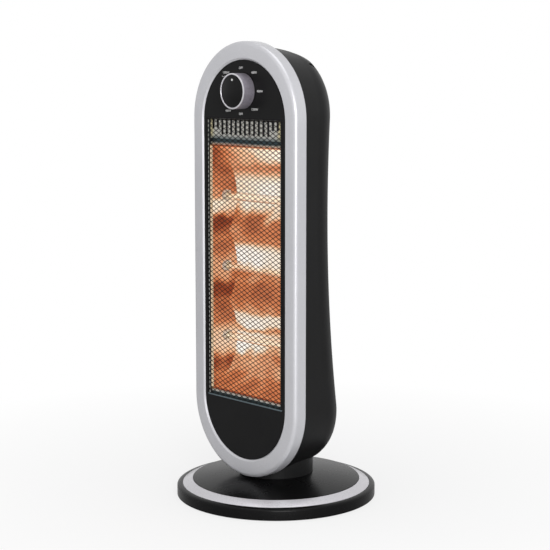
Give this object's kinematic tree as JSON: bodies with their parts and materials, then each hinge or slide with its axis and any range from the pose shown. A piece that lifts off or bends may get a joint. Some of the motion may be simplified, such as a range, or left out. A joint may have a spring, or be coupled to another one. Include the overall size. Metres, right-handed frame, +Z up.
{
  "type": "halogen heater",
  "caption": "Floor-standing halogen tower heater: lamps behind a diamond-mesh guard in a round-ended silver bezel, rotary dial, and a round weighted base on which the head swings.",
  "frame": {"origin": "on the floor at the centre of the round base, on the axis that the head swings about", "axes": "+Z up; the front with the lamps faces -Y; +X is on the viewer's right when the front is seen"},
  "size_m": [0.26, 0.26, 0.5889],
  "materials": {
    "silver_paint": "silver metallic paint on moulded plastic",
    "satin_trim": "satin silver paint on moulded plastic",
    "gloss_black": "semi-gloss moulded black",
    "moulded_black": "fine satin moulded black",
    "guard_steel": "plated steel net",
    "bright_sheet": "polished reflector sheet",
    "zinc_sheet": "galvanised sheet",
    "quartz": "clear quartz",
    "tungsten": "dull wire",
    "steatite": "unglazed ceramic",
    "black_rubber": "matt",
    "blue_steel": "oiled dark steel",
    "iron": "rough cast",
    "white_nylon": "natural nylon",
    "bright_steel": "zinc plated"
  },
  "bodies": {
    "base": {"base_cover": "gloss_black", "base_trim_ring": "satin_trim", "base_plate": "zinc_sheet", "ballast": "iron", "bearing_washer": "white_nylon", "swing_motor": "zinc_sheet", "terminal_block": "white_nylon", "cord_inlet": "black_rubber", "rubber_foot_1": "black_rubber", "rubber_foot_2": "black_rubber", "rubber_foot_3": "black_rubber", "rubber_foot_4": "black_rubber", "base_screw_1": "bright_steel", "base_screw_2": "bright_steel", "base_screw_3": "bright_steel", "base_screw_4": "bright_steel", "tip_switch": "moulded_black", "tip_spring": "bright_steel"},
    "tip_plunger": {"tip_plunger": "white_nylon"},
    "crank": {"motor_shaft": "bright_steel", "swing_crank": "white_nylon"},
    "head": {"drive_arm": "blue_steel", "retaining_ring": "blue_steel", "spindle": "blue_steel", "neck_collar": "moulded_black", "front_bezel": "silver_paint", "front_fascia": "gloss_black", "rear_shell": "moulded_black", "shell_screw_1": "bright_steel", "shell_screw_2": "bright_steel", "shell_screw_3": "bright_steel", "shell_screw_4": "bright_steel", "guard_mesh": "guard_steel", "guard_frame": "bright_sheet", "reflector": "bright_sheet", "reflector_end_left": "bright_sheet", "reflector_end_right": "bright_sheet", "heat_shield": "zinc_sheet", "thermal_cutout": "steatite", "lamp_tube_top": "quartz", "filament_top": "tungsten", "lamp_cap_top_left": "steatite", "lamp_cap_top_right": "steatite", "lamp_tube_middle": "quartz", "filament_middle": "tungsten", "lamp_cap_middle_left": "steatite", "lamp_cap_middle_right": "steatite", "lamp_tube_bottom": "quartz", "filament_bottom": "tungsten", "lamp_cap_bottom_left": "steatite", "lamp_cap_bottom_right": "steatite", "rotary_switch": "moulded_black"},
    "knob": {"switch_shaft": "bright_steel", "knob": "satin_trim", "knob_face": "gloss_black"}
  },
  "joints": [
    {"name": "head_swing", "type": "hinge", "parent": "base", "child": "head", "pos_m": [0, 0, 0.03], "axis": [0, 0, 1], "range_deg": [-30, 30]},
    {"name": "crank_spin", "type": "hinge", "parent": "base", "child": "crank", "pos_m": [0, 0.036, 0.02], "axis": [0, 0, 1], "range_deg": [-120, 120]},
    {"name": "knob_turn", "type": "hinge", "parent": "head", "child": "knob", "pos_m": [0, -0.06, 0.5272], "axis": [0, -1, 0], "continuous": true},
    {"name": "tip_slide", "type": "slide", "parent": "base", "child": "tip_plunger", "axis": [0, 0, -1], "range_m": [0, 0.005], "stiffness_N_per_m": 100, "springref_m": 0.01, "deforming": ["tip_spring"]}
  ],
  "couplings": [
    {"joint": "crank_spin", "follows": "head_swing", "ratio": 4}
  ]
}
